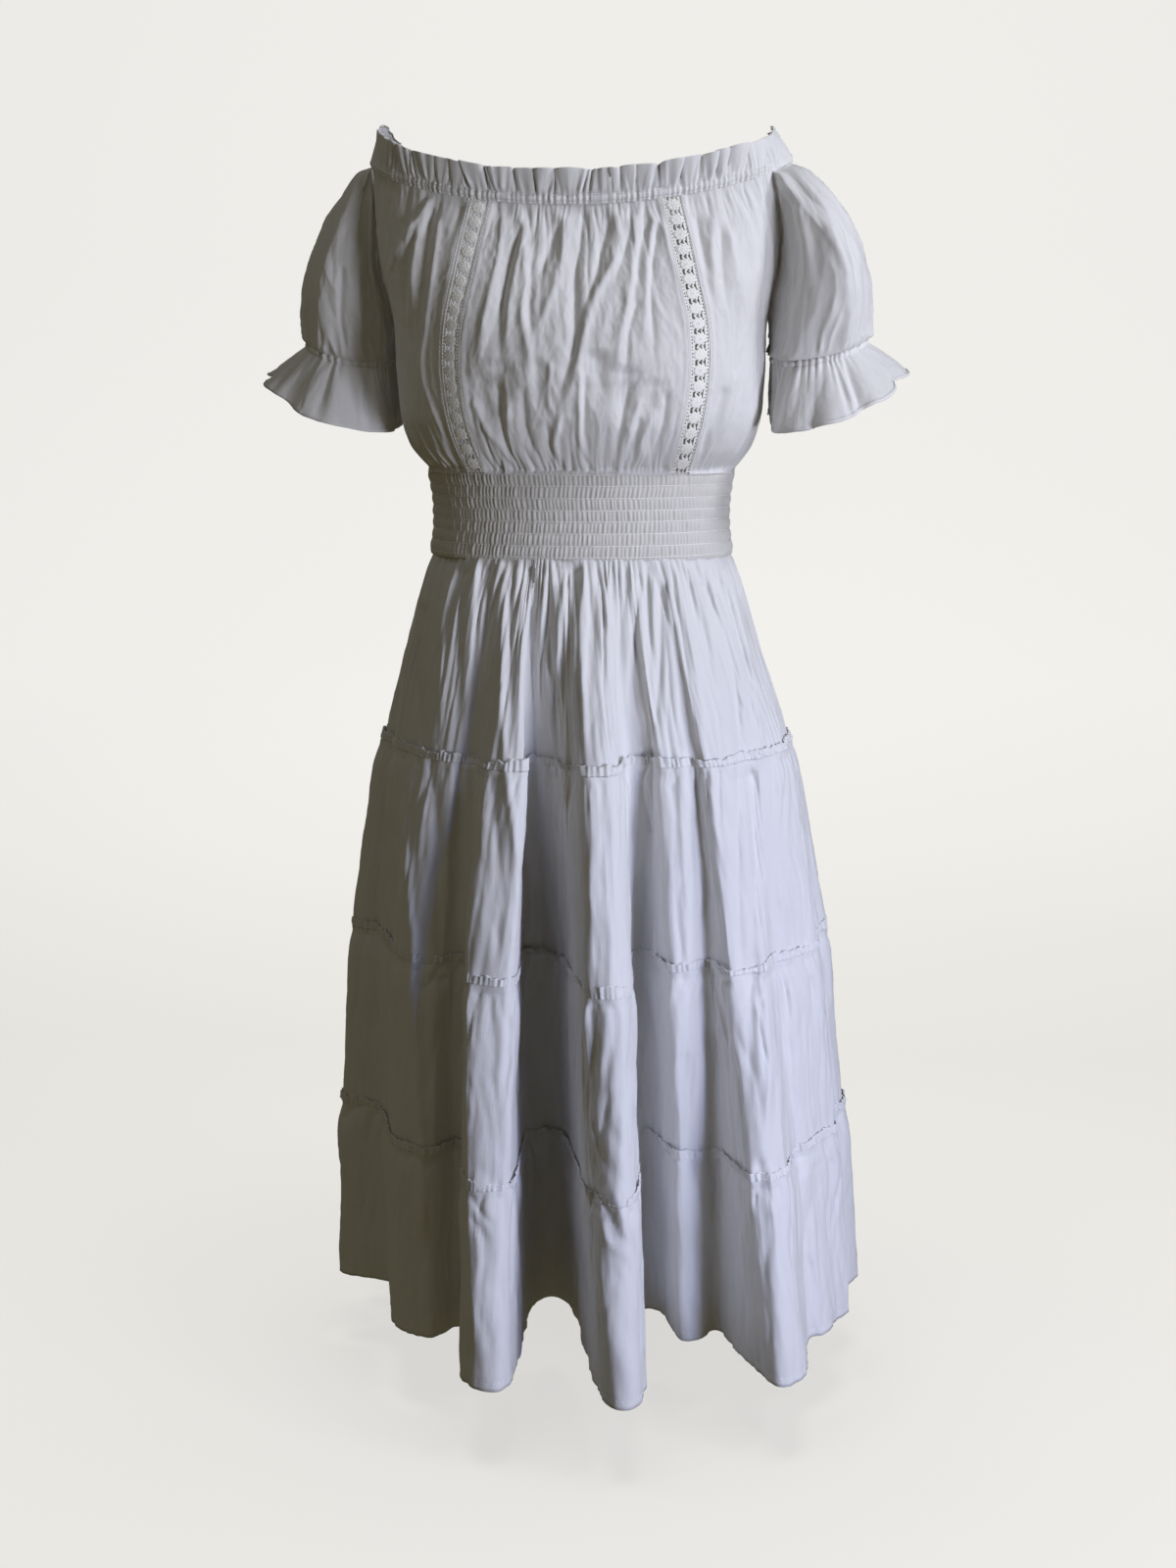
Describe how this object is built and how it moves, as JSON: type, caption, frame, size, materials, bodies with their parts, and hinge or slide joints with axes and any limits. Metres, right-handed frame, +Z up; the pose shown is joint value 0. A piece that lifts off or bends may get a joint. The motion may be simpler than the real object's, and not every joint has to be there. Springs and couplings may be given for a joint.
{
  "type": "peasant dress",
  "caption": "Worn off-shoulder peasant dress with puff sleeves, lace insertions, a smocked waist and a gathered tiered skirt, hollow and open at neck, cuffs and hem.",
  "frame": {"origin": "centre of the smocked waist, where the wearer holds the dress up", "axes": "+Z up, +X to the wearer's left, -Y out of the front"},
  "size_m": [0.569, 0.4718, 1.0592],
  "materials": {
    "plain_cotton": "matte crinkled white cotton with a faint soft sheen",
    "lace_cotton": "matte white cotton crochet lace",
    "smocked_cotton": "matte white cotton puckered between rows of elastic stitching"
  },
  "bodies": {
    "root": {"bodice_back": "plain_cotton", "bodice_front_centre": "plain_cotton", "bodice_front_left": "plain_cotton", "bodice_front_right": "plain_cotton", "cuff_casing_left": "plain_cotton", "cuff_casing_right": "plain_cotton", "cuff_frill_left": "plain_cotton", "cuff_frill_right": "plain_cotton", "lace_left": "lace_cotton", "lace_right": "lace_cotton", "neck_casing_back": "plain_cotton", "neck_casing_front": "plain_cotton", "neck_ruffle_back": "plain_cotton", "neck_ruffle_front": "plain_cotton", "neck_ruffle_left": "plain_cotton", "neck_ruffle_right": "plain_cotton", "seam_frill_1_back": "plain_cotton", "seam_frill_1_front": "plain_cotton", "seam_frill_2_back": "plain_cotton", "seam_frill_2_front": "plain_cotton", "seam_frill_3_back": "plain_cotton", "seam_frill_3_front": "plain_cotton", "sleeve_left": "plain_cotton", "sleeve_right": "plain_cotton", "tier_1_back": "plain_cotton", "tier_1_front": "plain_cotton", "tier_2_back": "plain_cotton", "tier_2_front": "plain_cotton", "tier_3_back": "plain_cotton", "tier_3_front": "plain_cotton", "tier_4_back": "plain_cotton", "tier_4_front": "plain_cotton", "waist_back": "smocked_cotton", "waist_front": "smocked_cotton"}
  },
  "joints": []
}
